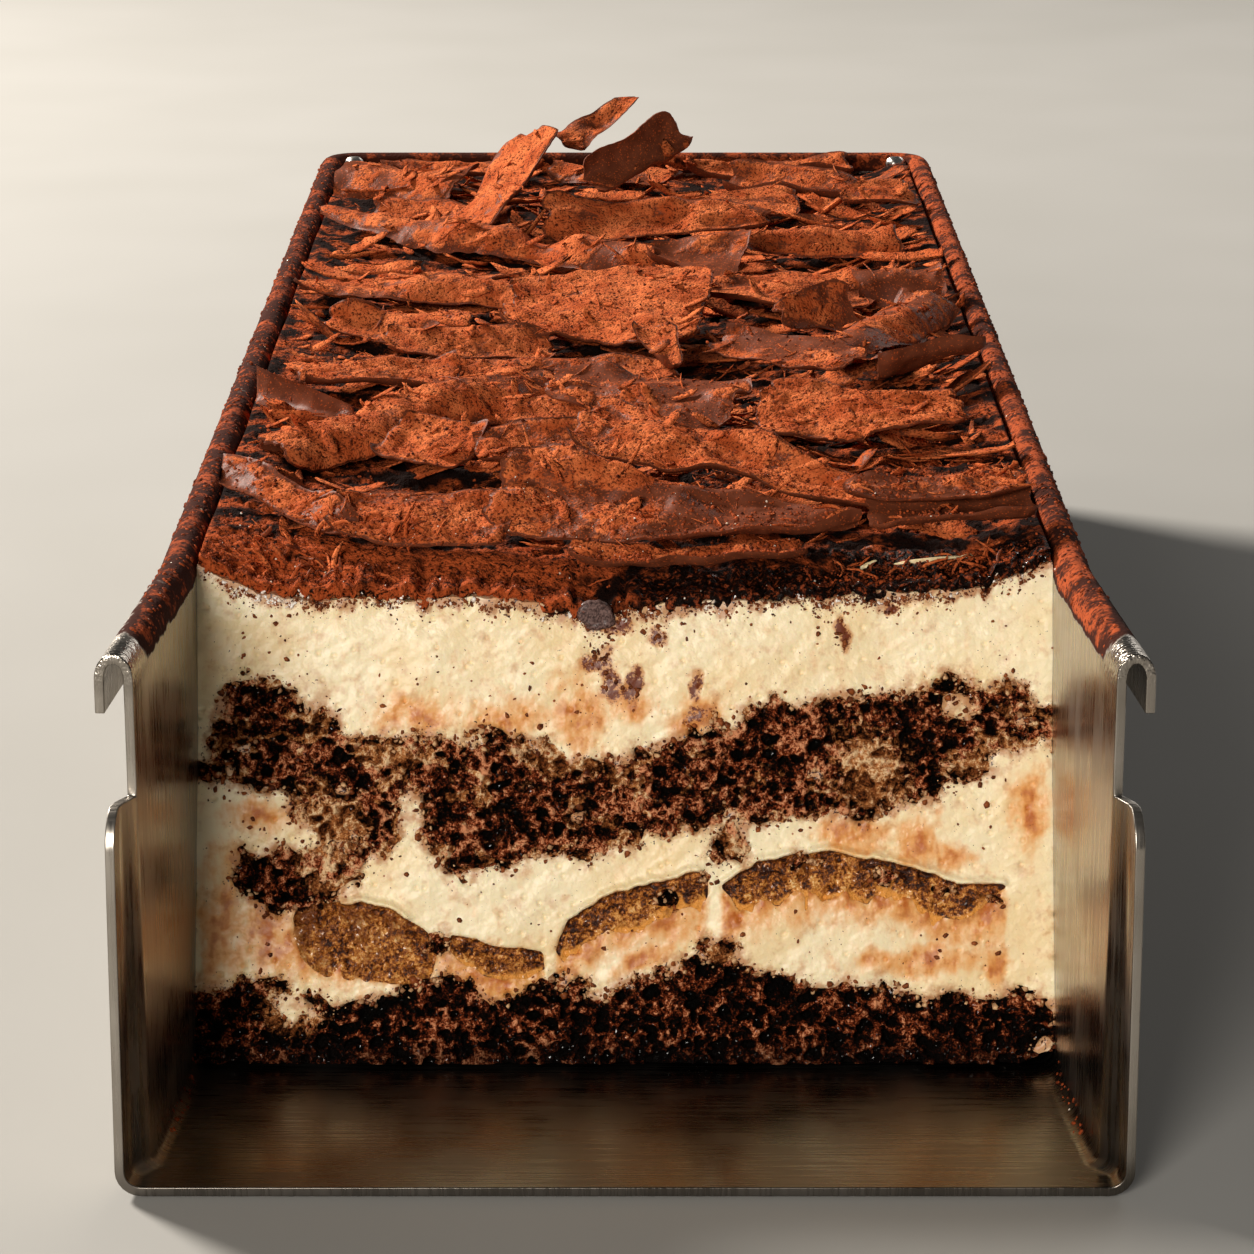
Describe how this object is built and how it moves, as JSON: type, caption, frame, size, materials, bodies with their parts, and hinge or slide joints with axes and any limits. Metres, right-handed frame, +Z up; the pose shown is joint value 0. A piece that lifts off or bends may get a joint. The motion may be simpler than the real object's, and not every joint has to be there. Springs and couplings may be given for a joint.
{
  "type": "tiramisu cake in its open-ended tin",
  "caption": "Long layered cream and coffee sponge cake in its folded steel tin, cut open at the front end, with cocoa and chocolate shavings on top.",
  "frame": {"origin": "middle of the footprint, on the surface the tin stands on", "axes": "+Z up, +Y along the tin from the open cut end to the closed back end, +X to the right seen from the cut end"},
  "size_m": [0.126, 0.3434, 0.0838],
  "materials": {
    "steel": "fine brushed, lightly worn, cocoa dusted on the rim",
    "solder": "smooth bright bead",
    "cocoa": "matt sifted powder, moist and dark at the cut",
    "chocolate": "thin dark chocolate, dusted with cocoa",
    "cream": "soft moist cream with a dull sheen",
    "dark_sponge": "open moist crumb",
    "soaked_sponge": "soaked and glossy"
  },
  "bodies": {
    "root": {"cocoa_top": "cocoa", "corner_bead_left": "solder", "corner_bead_right": "solder", "cream_lower": "cream", "cream_top": "cream", "shaving_back_centre": "chocolate", "shaving_back_dark": "chocolate", "shaving_back_left": "chocolate", "shaving_back_ridge": "chocolate", "shaving_back_right": "chocolate", "shaving_back_roll": "chocolate", "shaving_block_curl": "chocolate", "shaving_bow_left": "chocolate", "shaving_bow_right": "chocolate", "shaving_centre_plate": "chocolate", "shaving_centre_tail": "chocolate", "shaving_corner_flake": "chocolate", "shaving_dark_shard": "chocolate", "shaving_edge_strip": "chocolate", "shaving_far_left": "chocolate", "shaving_far_middle": "chocolate", "shaving_far_right": "chocolate", "shaving_fold_plate_a": "chocolate", "shaving_fold_plate_b": "chocolate", "shaving_front_plate": "chocolate", "shaving_front_tongue": "chocolate", "shaving_lean_plates": "chocolate", "shaving_left_arc": "chocolate", "shaving_left_back_flat": "chocolate", "shaving_left_curl": "chocolate", "shaving_left_plate": "chocolate", "shaving_left_strip": "chocolate", "shaving_long_curl": "chocolate", "shaving_mid_strip": "chocolate", "shaving_rear_plate": "chocolate", "shaving_ridge_left_a": "chocolate", "shaving_ridge_left_b": "chocolate", "shaving_ridge_left_c": "chocolate", "shaving_ridge_middle": "chocolate", "shaving_ridge_right": "chocolate", "shaving_right_flat": "chocolate", "shaving_right_mid_flat": "chocolate", "shaving_stack_lower": "chocolate", "shaving_stack_upper": "chocolate", "shaving_under_left": "chocolate", "shaving_upright_curl": "chocolate", "shaving_upright_plate": "chocolate", "shaving_upright_tip": "chocolate", "soaked_centre": "soaked_sponge", "soaked_left": "soaked_sponge", "soaked_middle": "soaked_sponge", "soaked_right": "soaked_sponge", "sponge_bottom": "dark_sponge", "sponge_lump": "dark_sponge", "sponge_middle": "dark_sponge", "tin_body": "steel"}
  },
  "joints": []
}
